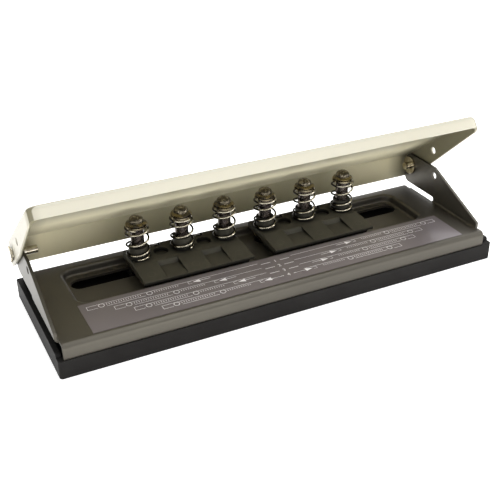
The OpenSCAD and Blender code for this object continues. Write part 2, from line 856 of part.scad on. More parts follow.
// Shoe under the recess, with two necks that stand in the slot
module slide_shoe(side) {
    half = shoe_length / 2;
    neck_width = slot_width - 2 * slide_gap;
    color(black_plastic) at_block(side) difference() {
        union() {
            run_z(
                [[-half, punch_line - shoe_width / 2], [half, punch_line - shoe_width / 2],
                    [half, punch_line + shoe_width / 2], [-half, punch_line + shoe_width / 2]],
                shoe_bottom, shoe_top
            );
            for (k = [-1, 1]) translate([k * screw_place, punch_line, 0])
                run_z(
                    [[-neck_length / 2, -neck_width / 2], [neck_length / 2, -neck_width / 2],
                        [neck_length / 2, neck_width / 2], [-neck_length / 2, neck_width / 2]],
                    shoe_bottom, base_bottom
                );
        }
        at_holes() bar_z(shoe_bottom - over, shoe_top + over, shoe_hole);
        at_screws(punch_line)
            bar_z(shoe_bottom - over, base_bottom + over, shoe_screw_diameter + 2 * running_fit);
    }
}

// The two screws behind a block's wells, which join its halves
module guide_screws(side) {
    color(bright_steel) at_block(side) at_screws(back_screw_line) {
        bar_z(base_top - back_screw_grip, pocket_floor, back_screw_diameter);
        bar_z(pocket_floor, pocket_floor + back_head_thickness, back_head_diameter);
    }
}

// The two screws that hold the shoe to the block from below
module shoe_screws(side) {
    color(bright_steel) at_block(side) at_screws(punch_line) {
        bar_z(shoe_bottom, base_top - shoe_screw_short, shoe_screw_diameter);
        bar_z(shoe_bottom - shoe_head_thickness, shoe_bottom, shoe_head_diameter);
    }
}

// Punches, numbered 1 to 6 from the left

// Half section of a head: a brim, and a cap with a domed top
head_profile = let (
    brim = head_diameter / 2,
    cap = cap_diameter / 2,
    shoulder = head_height - cap_dome
) concat(
    [[0, 0], [brim - head_bevel, 0], [brim, head_bevel], [brim, head_side], [cap, head_side + head_slope]],
    [for (k = [0 : dome_steps]) let (a = 90 * k / dome_steps) [cap * cos(a), shoulder + cap_dome * sin(a)]]
);

module punch(number) {
    color(steel) at_punch(number) difference() {
        union() {
            bar_z(tip_height, head_bottom, punch_diameter);
            translate([0, 0, head_bottom]) rotate_extrude() polygon(head_profile);
        }
        run_x(
            [[-punch_diameter / 2 - over, tip_height - over], [punch_diameter / 2 + over, tip_height - over],
                [0, tip_height + tip_notch]],
            -punch_diameter, punch_diameter
        );
    }
}

module punch_ring(number) {
    color(bright_steel) at_punch(number) difference() {
        bar_z(ring_bottom, head_bottom, ring_diameter);
        bar_z(ring_bottom - over, head_bottom + over, punch_diameter + 2 * running_fit);
    }
}

// Springs: one wire, upright at both ends, with closer turns next to them.
// Each point of its path is [angle round the axis, height, slope of the wire]
spring_radius = spring_diameter / 2;
circle_length = spring_diameter * PI;
end_slope = atan(spring_end_rise / circle_length);
end_rise = spring_wire + spring_end_bend * cos(end_slope);
end_turn = spring_end_bend * (1 - sin(end_slope)) / circle_length * 360;
coil_height = spring_length - 2 * end_rise;
mean_rise = coil_height / spring_turns;
crowding = 1 - spring_end_rise / mean_rise;
ring_count = ceil(spring_turns * rings_per_turn);

function coil_share(t) = t - crowding * sin(360 * t) / (2 * PI);
function coil_slope(t) = atan(mean_rise * (1 - crowding * cos(360 * t)) / circle_length);

spring_path = let (
    slopes = [for (k = [0 : end_steps - 1]) 90 + (end_slope - 90) * k / end_steps],
    top = 2 * end_turn + 360 * spring_turns
) concat(
    [[0, 0, 90]],
    [for (s = slopes) [
        spring_end_bend * (1 - sin(s)) / circle_length * 360,
        spring_wire + spring_end_bend * cos(s), s
    ]],
    [for (k = [0 : ring_count]) let (t = k / ring_count) [
        end_turn + 360 * spring_turns * t, end_rise + coil_height * coil_share(t), coil_slope(t)
    ]],
    [for (k = [1 : end_steps]) let (s = slopes[end_steps - k]) [
        top - spring_end_bend * (1 - sin(s)) / circle_length * 360,
        spring_length - spring_wire - spring_end_bend * cos(s), s
    ]],
    [[top, spring_length, 90]]
);

function path_point(p) = [spring_radius * cos(p[0]), spring_radius * sin(p[0]), p[1]];

// Point k of the ring round the wire at path point p
function ring_point(p, k) =
    let (
        a = 360 * k / wire_sides,
        outward = [cos(p[0]), sin(p[0]), 0],
        across = [-sin(p[2]) * sin(p[0]), sin(p[2]) * cos(p[0]), -cos(p[2])]
    )
    path_point(p) + spring_wire / 2 * (outward * cos(a) + across * sin(a));

// Least gap between stretches of the wire that lie half a turn or more apart
spring_gap = min([
    for (p = spring_path) for (q = spring_path)
        if (q[0] - p[0] >= 180) norm(path_point(q) - path_point(p)) - spring_wire
]);
echo(least_gap_between_spring_turns = spring_gap);

module spring(number) {
    last = len(spring_path) - 1;
    points = [for (p = spring_path) for (k = [0 : wire_sides - 1]) ring_point(p, k)];
    walls = [
        for (i = [0 : last - 1]) for (k = [0 : wire_sides - 1])
            let (
                a = i * wire_sides + k,
                b = i * wire_sides + (k + 1) % wire_sides,
                c = a + wire_sides,
                d = b + wire_sides
            )
            each [[a, b, d], [a, d, c]]
    ];
    caps = [
        for (k = [1 : wire_sides - 2]) each [
            [0, k + 1, k],
            [last * wire_sides, last * wire_sides + k, last * wire_sides + k + 1]
        ]
    ];
    color(steel) at_punch(number) translate([0, 0, guide_top]) polyhedron(points, concat(walls, caps));
}

frame();
chip_tray();
gauge_label();
press_lever();
pivot_pin(-1);  // pivot_pin_left
pivot_pin(1);  // pivot_pin_right
pivot_clip(-1);  // pivot_clip_left
pivot_clip(1);  // pivot_clip_right
punch_guide(-1);  // punch_guide_left
punch_guide(1);  // punch_guide_right
die_base(-1);  // die_base_left
die_base(1);  // die_base_right
die_plate(-1);  // die_plate_left
die_plate(1);  // die_plate_right
slide_shoe(-1);  // slide_shoe_left
slide_shoe(1);  // slide_shoe_right
guide_screws(-1);  // guide_screws_left
guide_screws(1);  // guide_screws_right
shoe_screws(-1);  // shoe_screws_left
shoe_screws(1);  // shoe_screws_right
punch(1);  // punch_1
punch(2);  // punch_2
punch(3);  // punch_3
punch(4);  // punch_4
punch(5);  // punch_5
punch(6);  // punch_6
punch_ring(1);  // punch_ring_1
punch_ring(2);  // punch_ring_2
punch_ring(3);  // punch_ring_3
punch_ring(4);  // punch_ring_4
punch_ring(5);  // punch_ring_5
punch_ring(6);  // punch_ring_6
spring(1);  // spring_1
spring(2);  // spring_2
spring(3);  // spring_3
spring(4);  // spring_4
spring(5);  // spring_5
spring(6);  // spring_6
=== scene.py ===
"""Dressed scene of a six-hole planner punch.

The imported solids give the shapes. This script winds the springs, cuts the screw heads,
crowns the pivot pins, prints the gauge label, dresses every piece and sets up the studio.
Lengths are in metres, +Z is up, and the origin is the middle of the tray's underside.
"""

from __future__ import annotations

import json
import logging
import math
from collections.abc import Callable, Sequence
from dataclasses import dataclass
from enum import Enum

import bpy
from mathutils import Matrix, Vector


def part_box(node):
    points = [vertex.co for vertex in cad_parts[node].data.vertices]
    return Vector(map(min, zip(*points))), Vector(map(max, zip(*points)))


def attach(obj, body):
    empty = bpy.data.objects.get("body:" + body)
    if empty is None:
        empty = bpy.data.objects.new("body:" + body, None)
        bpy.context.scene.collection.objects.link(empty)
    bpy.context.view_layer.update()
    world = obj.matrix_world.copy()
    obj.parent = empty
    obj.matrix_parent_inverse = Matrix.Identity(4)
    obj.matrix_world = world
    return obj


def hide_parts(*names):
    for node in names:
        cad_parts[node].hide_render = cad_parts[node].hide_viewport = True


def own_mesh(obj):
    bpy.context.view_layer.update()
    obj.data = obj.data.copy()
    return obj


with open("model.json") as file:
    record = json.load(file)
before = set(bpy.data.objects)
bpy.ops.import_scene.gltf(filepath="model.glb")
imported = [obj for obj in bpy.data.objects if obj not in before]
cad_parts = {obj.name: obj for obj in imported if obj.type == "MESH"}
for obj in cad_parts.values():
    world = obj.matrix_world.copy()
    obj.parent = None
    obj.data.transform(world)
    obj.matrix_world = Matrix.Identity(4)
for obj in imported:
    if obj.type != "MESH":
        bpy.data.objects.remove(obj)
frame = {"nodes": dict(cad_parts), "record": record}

LOG = logging.getLogger("planner_punch")
MM = 0.001
FULL_TURN = 2 * math.pi
WHITE = (1, 1, 1)
NOISE_MIDDLE = 0.5
CLOUD_DETAIL = 3
CLOUD_RANGE = (0.36, 0.64)
RING_LINE = 0.22 * MM
EDGE_SAMPLES = 4
Span = tuple[float, float]
Point = tuple[float, float, float]
Colour = tuple[float, float, float]
Pair = tuple[Colour, Colour]
Piece = bpy.types.Object
Material = bpy.types.Material
Tree = bpy.types.NodeTree
Node = bpy.types.Node
Socket = bpy.types.NodeSocket


class Side(Enum):
    """The two ends of the punch."""

    LEFT = -1
    RIGHT = 1

    @property
    def label(self) -> str:
        """The side's word in the names of nodes and bodies."""
        return self.name.lower()


class Slot(Enum):
    """Material slots of the record."""

    FRAME = "frame_paint"
    LEVER = "lever_paint"
    TRAY = "tray_plastic"
    LABEL = "label_film"
    BLOCK = "block_plastic"
    PUNCH = "punch_steel"
    PLATED = "plated_steel"
    WIRE = "spring_wire"
    DARK = "dark_steel"


# Modelling helpers


def deselect_all() -> None:
    """Leaves nothing selected."""
    for piece in list(bpy.context.selected_objects):
        piece.select_set(False)


def activate(piece: Piece) -> None:
    """Makes a piece the only selected and active one.

    Args:
        piece: The piece to work on.
    """
    deselect_all()
    piece.select_set(True)
    bpy.context.view_layer.objects.active = piece


def new_piece(name: str) -> Piece:
    """Names the primitive that was just added.

    Args:
        name: Name of the piece and of its mesh.

    Returns:
        The named object.
    """
    piece = bpy.context.object
    piece.name = name
    piece.data.name = name
    return piece


def pick(piece: Piece, test: Callable[[Vector, Vector], bool]) -> None:
    """Enters edit mode with the faces that pass a test selected.

    Args:
        piece: The piece to work on.
        test: Says yes or no from a face's centre and normal.
    """
    activate(piece)
    bpy.ops.object.mode_set(mode="EDIT")
    bpy.ops.mesh.select_mode(type="FACE")
    bpy.ops.mesh.select_all(action="DESELECT")
    bpy.ops.object.mode_set(mode="OBJECT")
    for face in piece.data.polygons:
        face.select = test(face.center, face.normal)
    bpy.ops.object.mode_set(mode="EDIT")


def leave_edit() -> None:
    """Goes back to object mode."""
    bpy.ops.object.mode_set(mode="OBJECT")


def everywhere(_centre: Vector, _normal: Vector) -> bool:
    """Passes every face."""
    return True


def faces_up(_centre: Vector, normal: Vector) -> bool:
    """Passes the faces that look up."""
    return normal.z > 0.9


def faces_down(_centre: Vector, normal: Vector) -> bool:
    """Passes the faces that look down."""
    return normal.z < -0.9


def apply_modifier(piece: Piece, kind: str, **settings: object) -> None:
    """Adds a modifier and applies it.

    Args:
        piece: The piece to change.
        kind: Blender's name of the modifier type.
        settings: Its settings.
    """
    activate(piece)
    modifier = piece.modifiers.new(kind.lower(), kind)
    for key, value in settings.items():
        setattr(modifier, key, value)
    bpy.ops.object.modifier_apply(modifier=modifier.name)


def round_edges(piece: Piece, width: float, segments: int, angle: float) -> None:
    """Rounds the edges of a piece that are sharper than an angle in degrees."""
    apply_modifier(
        piece, "BEVEL", width=width, segments=segments, limit_method="ANGLE",
        angle_limit=math.radians(angle),
    )


def settle(piece: Piece, angle: float = 35) -> None:
    """Puts a piece's place into its mesh, merges doubles and turns its faces outwards.

    Args:
        piece: The piece to finish.
        angle: Edges up to this angle, in degrees, are shaded smooth.
    """
    activate(piece)
    bpy.ops.object.transform_apply(location=True, rotation=True, scale=True)
    pick(piece, everywhere)
    bpy.ops.mesh.remove_doubles(threshold=1e-7)
    bpy.ops.mesh.select_all(action="SELECT")
    bpy.ops.mesh.normals_make_consistent(inside=False)
    leave_edit()
    bpy.ops.object.shade_smooth_by_angle(angle=math.radians(angle))


def turned_at(place: Point, angle: float) -> Matrix:
    """Gives the matrix of a turn about Z, in degrees, and then a move."""
    return Matrix.Translation(place) @ Matrix.Rotation(math.radians(angle), 4, "Z")


def copy_to(piece: Piece, name: str, matrix: Matrix) -> Piece:
    """Copies a piece with a mesh of its own.

    Args:
        piece: The piece to copy.
        name: Name of the copy.
        matrix: Where the copy's mesh goes.

    Returns:
        The copy, with its object at the origin.
    """
    twin = bpy.data.objects.new(name, piece.data.copy())
    twin.data.name = name
    twin.data.transform(matrix)
    bpy.context.scene.collection.objects.link(twin)
    return twin


def join(pieces: Sequence[Piece], name: str) -> Piece:
    """Joins pieces into one.

    Args:
        pieces: What to join.
        name: Name of the result.

    Returns:
        The joined piece.
    """
    deselect_all()
    for piece in pieces:
        piece.select_set(True)
    bpy.context.view_layer.objects.active = pieces[0]
    bpy.ops.object.join()
    return new_piece(name)


def discard(*pieces: Piece) -> None:
    """Removes pieces that served as patterns or cutters."""
    for piece in pieces:
        bpy.data.objects.remove(piece, do_unlink=True)


def hand_over(
    piece: Piece, body: str, material: Material, replaced: str | None = None
) -> None:
    """Dresses a finished piece and ties it to its body.

    Args:
        piece: The finished piece.
        body: The body that it moves with.
        material: Its material.
        replaced: The solid that it stands for, if it stands for one.
    """
    piece.data.materials.clear()
    piece.data.materials.append(material)
    if replaced:
        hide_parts(replaced)
    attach(piece, body)
    LOG.info("%s on %s: %d faces", piece.name, body, len(piece.data.polygons))


# Shader groups


class Wiring:
    """A node tree with short ways to add and join nodes."""

    def __init__(self, tree: Tree) -> None:
        """Keeps the tree of a material, world or group."""
        self.tree = tree

    def add(self, kind: str, **settings: object) -> Node:
        """Adds a node.

        Args:
            kind: Blender's identifier of the node type.
            settings: Attributes to set on it.

        Returns:
            The node.
        """
        node = self.tree.nodes.new(kind)
        for key, value in settings.items():
            setattr(node, key, value)
        return node

    def feed(self, socket: Socket, value: object) -> None:
        """Links a socket to another, or sets its value.

        Args:
            socket: The input.
            value: An output socket, a number or a colour.
        """
        if isinstance(value, Socket):
            self.tree.links.new(value, socket)
        elif isinstance(value, tuple):
            socket.default_value = (*value, 1)
        else:
            socket.default_value = value

    def fill(self, node: Node, values: dict[str, object]) -> None:
        """Feeds the named inputs of a node."""
        for key, value in values.items():
            self.feed(node.inputs[key], value)

    def math(self, operation: str, a: object, b: object = 0.0) -> Socket:
        """Adds a Math node.

        Args:
            operation: Its operation.
            a: First input.
            b: Second input.

        Returns:
            Its output.
        """
        node = self.add("ShaderNodeMath", operation=operation)
        self.feed(node.inputs[0], a)
        self.feed(node.inputs[1], b)
        return node.outputs[0]

    def ramp(
        self, value: object, low: float, high: float, to_low: float = 0, to_high: float = 1
    ) -> Socket:
        """Adds a clamped Map Range node.

        Args:
            value: What is mapped.
            low: One end.
            high: The other end.
            to_low: Result at low.
            to_high: Result at high.

        Returns:
            Its output.
        """
        node = self.add("ShaderNodeMapRange", clamp=True)
        for socket, item in zip(node.inputs[:5], (value, low, high, to_low, to_high)):
            self.feed(socket, item)
        return node.outputs[0]

    def mix(self, factor: object, a: object, b: object) -> Socket:
        """Mixes two colours.

        Args:
            factor: Share of the second.
            a: First colour.
            b: Second colour.

        Returns:
            The mixed colour.
        """
        node = self.add("ShaderNodeMix", data_type="RGBA")
        for index, item in ((0, factor), (6, a), (7, b)):
            self.feed(node.inputs[index], item)
        return node.outputs[2]

    def split(self, place: Socket) -> tuple[Socket, Socket, Socket]:
        """Takes a place or direction apart.

        Args:
            place: The vector.

        Returns:
            Its X, Y and Z.
        """
        node = self.add("ShaderNodeSeparateXYZ")
        self.feed(node.inputs[0], place)
        return tuple(node.outputs)

    def noise(self, place: Socket, scale: object, detail: float = 2) -> Socket:
        """Adds a Noise Texture node.

        Args:
            place: Coordinates.
            scale: Its scale, per metre.
            detail: Number of finer layers.

        Returns:
            Its factor.
        """
        node = self.add("ShaderNodeTexNoise")
        self.fill(node, {"Vector": place, "Scale": scale, "Detail": detail})
        return node.outputs["Fac"]


def new_group(
    name: str, takes: Sequence[tuple[str, str]], gives: Sequence[tuple[str, str]]
) -> tuple[Tree, Node, Node]:
    """Makes an empty shader node group.

    Args:
        name: Name of the group.
        takes: Names and socket types of its inputs.
        gives: Names and socket types of its outputs.

    Returns:
        The group, its input node and its output node.
    """
    tree = bpy.data.node_groups.new(name, "ShaderNodeTree")
    for way, sockets in (("INPUT", takes), ("OUTPUT", gives)):
        for label, kind in sockets:
            tree.interface.new_socket(label, in_out=way, socket_type=f"NodeSocket{kind}")
    return tree, tree.nodes.new("NodeGroupInput"), tree.nodes.new("NodeGroupOutput")


def surface_group() -> Tree:
    """Group that varies a finish: clouds in the colour, fine grain in height and roughness.

    Returns:
        The group.
    """
    tree, given, wanted = new_group(
        "surface_variation",
        [("Vector", "Vector"), ("First", "Color"), ("Second", "Color"), ("Broad", "Float"),
         ("Fine", "Float"), ("Roughness", "Float"), ("Spread", "Float")],
        [("Color", "Color"), ("Roughness", "Float"), ("Height", "Float")],
    )
    w = Wiring(tree)
    take, give = given.outputs, wanted.inputs
    broad = w.noise(take["Vector"], take["Broad"], CLOUD_DETAIL)
    fine = w.noise(take["Vector"], take["Fine"])
    cloud = w.ramp(broad, *CLOUD_RANGE)
    swing = w.math("MULTIPLY", w.math("SUBTRACT", fine, NOISE_MIDDLE), take["Spread"])
    w.feed(give["Color"], w.mix(cloud, take["First"], take["Second"]))
    w.feed(give["Roughness"], w.math("ADD", take["Roughness"], swing))
    w.feed(give["Height"], fine)
    return tree


def ring_marks_group() -> Tree:
    """Group that draws a row of faint rings, one at each hole, as ejector pins leave them.

    Returns:
        The group.
    """
    tree, given, wanted = new_group(
        "ejector_marks",
        [("Vector", "Vector"), ("Start", "Float"), ("Pitch", "Float"), ("Line", "Float"),
         ("Radius", "Float")],
        [("Mask", "Float")],
    )
    w = Wiring(tree)
    take = given.outputs
    x, y, _ = w.split(take["Vector"])
    along = w.math("DIVIDE", w.math("SUBTRACT", x, take["Start"]), take["Pitch"])
    near = w.math("MULTIPLY", w.math("SUBTRACT", along, w.math("ROUND", along)), take["Pitch"])
    across = w.math("SUBTRACT", y, take["Line"])
    squares = w.math("ADD", w.math("MULTIPLY", near, near), w.math("MULTIPLY", across, across))
    off = w.math("ABSOLUTE", w.math("SUBTRACT", w.math("SQRT", squares), take["Radius"]))
    w.feed(wanted.inputs["Mask"], w.ramp(off, 0, RING_LINE, 1, 0))
    return tree


GROUPS: dict[str, Tree] = {}


# Finishes


@dataclass
class Surface:
    """A surface whose material is being wired.

    Attributes:
        w: The material's wiring.
        place: Object coordinates.
        colour: Its colour so far.
        height: The height of its grain so far.
    """

    w: Wiring
    place: Socket
    colour: Socket
    height: Socket


@dataclass(frozen=True)
class Finish:
    """A finish that varies over the surface.

    Attributes:
        name: Name of the material.
        first: Main colour.
        second: Colour of the broad clouds.
        roughness: Mean roughness.
        metallic: Share of metal.
        broad: Scale of the clouds, per metre.
        fine: Scale of the grain, per metre.
        spread: Swing of the roughness.
        depth: Height of the grain.
        coat: Weight of a clear coat.
        coat_roughness: Roughness of that coat.
        soft_edge: Radius over which edges look rounded.
        specular: Strength of the sheen of the non-metallic share.
    """

    name: str
    first: Colour
    second: Colour
    roughness: float
    metallic: float = 0.0
    broad: float = 30.0
    fine: float = 2500.0
    spread: float = 0.1
    depth: float = 0.01 * MM
    coat: float = 0.0
    coat_roughness: float = 0.2
    soft_edge: float = 0.0
    specular: float = 0.5

    def build(self) -> Material:
        """Makes the material.

        Returns:
            The material.
        """
        material = bpy.data.materials.new(self.name)
        material.use_nodes = True
        w = Wiring(material.node_tree)
        shader = material.node_tree.nodes["Principled BSDF"]
        place = w.add("ShaderNodeTexCoord").outputs["Object"]
        group = w.add("ShaderNodeGroup", node_tree=GROUPS["surface"])
        w.fill(group, {
            "Vector": place, "First": self.first, "Second": self.second, "Broad": self.broad,
            "Fine": self.fine, "Roughness": self.roughness, "Spread": self.spread,
        })
        surface = Surface(w, place, group.outputs["Color"], group.outputs["Height"])
        self.extend(surface)
        bump = w.add("ShaderNodeBump")
        w.fill(bump, {"Distance": self.depth, "Height": surface.height})
        if self.soft_edge:
            bevel = w.add("ShaderNodeBevel", samples=EDGE_SAMPLES)
            bevel.inputs["Radius"].default_value = self.soft_edge
            w.feed(bump.inputs["Normal"], bevel.outputs[0])
        w.fill(shader, {
            "Base Color": surface.colour, "Roughness": group.outputs["Roughness"],
            "Normal": bump.outputs[0], "Metallic": self.metallic, "Coat Weight": self.coat,
            "Coat Roughness": self.coat_roughness, "Specular IOR Level": self.specular,
        })
        return material

    def extend(self, surface: Surface) -> None:
        """Leaves the surface as it is; other finishes add to it."""


@dataclass(frozen=True)
class LeverFinish(Finish):
    """Enamel outside, and painted light and shade inside the folded lever.

    Attributes:
        plates: Colours of the plate's inside: painted light at the fold, painted shade at the
            lip.
        skirts: Colours of the back skirt's inside: painted shade behind the punches, painted
            light at the ends.
        flange: Colour of the painted shade on the end flanges' inside.
        middle: The lever's middle in X.
        pivot: Y and Z of the pivot.
        angle: How far the lever stands open, in degrees.
        half: Half its length over the flanges.
        reach: From the pivot to the front face.
        rise: From the pivot up to the top.
        skirt: From the pivot back to the fold of the skirt.
        skirt_out: Outward direction of the skirt, in the lever's Y and Z.
        skin: Depth at which the outside ends.
        skin_fade: Depth over which it gives way to the inside.
        crease: Half the width over which one inner face gives way to the next.
        plate_fade: Where the plate's painted light gives way to its painted shade, from the
            pivot.
        skirt_fade: Where the skirt's painted shade gives way to its painted light, from the
            middle.
        flange_fade: Where the painted shade near each end starts and is full, from the end.
        flange_share: Strength of that painted shade.
        cloud_scale: Scale of the clouds inside, per metre.
        cloud_share: Their strength.
    """

    plates: Pair = ((0.80, 0.745, 0.53), (0.25, 0.233, 0.162))
    skirts: Pair = ((0.34, 0.312, 0.205), (0.82, 0.752, 0.515))
    flange: Colour = (0.155, 0.142, 0.092)
    middle: float = -2.1 * MM
    pivot: Span = (22.1 * MM, 24.3 * MM)
    angle: float = 37.0
    half: float = 94.75 * MM
    reach: float = 52.9 * MM
    rise: float = 7.0 * MM
    skirt: float = 3.0 * MM
    skirt_out: Span = (0.8225, 0.5687)
    skin: float = 0.55 * MM
    skin_fade: float = 0.2 * MM
    crease: float = 0.3 * MM
    plate_fade: Span = (-14 * MM, -28 * MM)
    skirt_fade: Span = (46 * MM, 80 * MM)
    flange_fade: Span = (12 * MM, 2 * MM)
    flange_share: float = 0.9
    cloud_scale: float = 55
    cloud_share: float = 0.15

    def extend(self, surface: Surface) -> None:
        """Paints light and shade inside the fold.

        Args:
            surface: The surface to change.
        """
        w = surface.w
        c, s = math.cos(math.radians(self.angle)), math.sin(math.radians(self.angle))
        x, y, z = w.split(surface.place)
        back = w.math("SUBTRACT", y, self.pivot[0])
        up = w.math("SUBTRACT", z, self.pivot[1])
        along = w.math("SUBTRACT", w.math("MULTIPLY", back, c), w.math("MULTIPLY", up, s))
        high = w.math("ADD", w.math("MULTIPLY", back, s), w.math("MULTIPLY", up, c))
        side = w.math("ABSOLUTE", w.math("SUBTRACT", x, self.middle))
        past = w.math("MULTIPLY", w.math("SUBTRACT", along, self.skirt), self.skirt_out[0])
        over = w.math("MULTIPLY", w.math("SUBTRACT", high, self.rise), self.skirt_out[1])
        end = w.math("SUBTRACT", self.half, side)
        front = w.math("ADD", along, self.reach)
        top = w.math("SUBTRACT", self.rise, high)
        rear = w.math("MULTIPLY", w.math("ADD", past, over), -1)
        inward = w.math("MINIMUM", top, w.math("MINIMUM", front, rear))
        within = w.ramp(w.math("MINIMUM", inward, end), self.skin, self.skin + self.skin_fade)
        cloud = w.math("SUBTRACT", w.noise(surface.place, self.cloud_scale), NOISE_MIDDLE)
        drift = w.math("MULTIPLY", cloud, self.cloud_share)
        # Painted light near the fold, fading to painted shade at the lip, with clouds.
        to_lip = w.math("ADD", w.ramp(along, *self.plate_fade), drift)
        plate = w.mix(to_lip, *self.plates)
        # Painted shade behind the punches, painted light at the skirt's ends.
        skirt = w.mix(w.ramp(side, *self.skirt_fade), *self.skirts)
        on_skirt = w.ramp(w.math("SUBTRACT", top, rear), -self.crease, self.crease)
        on_flange = w.ramp(w.math("SUBTRACT", inward, end), -self.crease, self.crease)
        # Painted shade on the flanges and near each end.
        beside = w.ramp(end, *self.flange_fade, 0, self.flange_share)
        on_flange = w.math("MAXIMUM", on_flange, beside)
        inner = w.mix(on_flange, w.mix(on_skirt, plate, skirt), self.flange)
        surface.colour = w.mix(within, surface.colour, inner)


@dataclass(frozen=True)
class BlockFinish(Finish):
    """Moulded plastic with the rings that ejector pins leave on the ramps, and painted shade in
    its corners.

    Attributes:
        start: Place of one ring in X.
        pitch: Distance between rings.
        line: Place of the rings in Y.
        radius: Radius of a ring.
        ring_light: How many times lighter than the plastic a ring is.
        ring_share: Share of that light colour in a ring.
        ring_height: Height of a ring as a multiple of the grain's.
        crevice_reach: Distance over which corners get painted shade.
        crevice_open: Openness of a corner at which the painted shade is full, and at which it
            ends.
        crevice_shade: Share of the colour that is left under the painted shade.
        crevice_samples: Number of rays that look for corners.
    """

    start: float = -11.625 * MM
    pitch: float = 19.05 * MM
    line: float = -2.6 * MM
    radius: float = 1.5 * MM
    ring_light: float = 1.9
    ring_share: float = 0.35
    ring_height: float = 2.0
    crevice_reach: float = 3.5 * MM
    crevice_open: Span = (0.5, 1.0)
    crevice_shade: float = 0.15
    crevice_samples: int = 8

    def extend(self, surface: Surface) -> None:
        """Adds the rings and the painted shade in the corners.

        Args:
            surface: The surface to change.
        """
        w = surface.w
        marks = w.add("ShaderNodeGroup", node_tree=GROUPS["marks"])
        w.fill(marks, {
            "Vector": surface.place, "Start": self.start, "Pitch": self.pitch,
            "Line": self.line, "Radius": self.radius,
        })
        mask = marks.outputs["Mask"]
        lighter = tuple(self.ring_light * c for c in self.first)
        # Painted shade: corners found by ambient occlusion get this darker colour.
        corner_shade_colour = tuple(self.crevice_shade * c for c in self.first)
        colour = w.mix(w.math("MULTIPLY", mask, self.ring_share), surface.colour, lighter)
        crevice = w.add("ShaderNodeAmbientOcclusion", samples=self.crevice_samples)
        crevice.inputs["Distance"].default_value = self.crevice_reach
        corner_shade = w.ramp(crevice.outputs["AO"], *self.crevice_open, 1, 0)
        surface.colour = w.mix(corner_shade, colour, corner_shade_colour)
        raised = w.math("MULTIPLY", mask, self.ring_height)
        surface.height = w.math("ADD", surface.height, raised)


@dataclass(frozen=True)
class WireFinish(Finish):
    """Spring wire, with painted shade on the back of the coils.

    Attributes:
        oiled: Colour of the painted shade.
        oil_lines: Places in Y where the painted shade starts and where it is full.
    """

    oiled: Colour = (0.02, 0.017, 0.012)
    oil_lines: Span = (7.9 * MM, 9.7 * MM)

    def extend(self, surface: Surface) -> None:
        """Darkens the back of the coils with painted shade.

        Args:
            surface: The surface to change.
        """
        w = surface.w
        # Painted shade behind the punch line.
        behind = w.ramp(w.split(surface.place)[1], *self.oil_lines)
        surface.colour = w.mix(behind, surface.colour, self.oiled)


@dataclass(frozen=True)
class PunchFinish(Finish):
    """Turned steel with a blackened cap on a yellowish brim.

    Attributes:
        brim: Colour of the brim.
        cap: Colour of the cap.
        scuff: Colour of the lighter specks on the cap.
        brim_line: Height at which the brim starts.
        cap_line: Mean height at which the cap starts.
        edge: Width over which one colour gives way to the next.
        wander: How far the cap's edge wanders up and down.
        stain_scale: Scale of the brim's stains, per metre.
        stain_range: Noise at which a stain starts and is full.
        speck_scale: Scale of the cap's specks, per metre.
        speck_range: Noise at which a speck starts and is full.
    """

    brim: Colour = (0.145, 0.115, 0.055)
    cap: Colour = (0.06, 0.052, 0.037)
    scuff: Colour = (0.25, 0.222, 0.165)
    brim_line: float = 31.0 * MM
    cap_line: float = 32.3 * MM
    edge: float = 0.1 * MM
    wander: float = 1.2 * MM
    stain_scale: float = 420
    stain_range: Span = (0.45, 0.6)
    speck_scale: float = 900
    speck_range: Span = (0.5, 0.7)

    def extend(self, surface: Surface) -> None:
        """Colours the head by height.

        Args:
            surface: The surface to change.
        """
        w = surface.w
        up = w.split(surface.place)[2]
        stain = w.noise(surface.place, self.stain_scale)
        brim = w.mix(w.ramp(stain, *self.stain_range), self.brim, self.cap)
        on_brim = w.ramp(up, self.brim_line, self.brim_line + self.edge)
        shift = w.math("MULTIPLY", w.math("SUBTRACT", stain, NOISE_MIDDLE), self.wander)
        above = w.math("SUBTRACT", up, w.math("ADD", self.cap_line, shift))
        on_cap = w.ramp(above, -self.edge, self.edge)
        # Lighter specks, placed at random over the cap.
        speck = w.ramp(w.noise(surface.place, self.speck_scale), *self.speck_range)
        specked = w.mix(speck, self.cap, self.scuff)
        surface.colour = w.mix(on_cap, w.mix(on_brim, surface.colour, brim), specked)


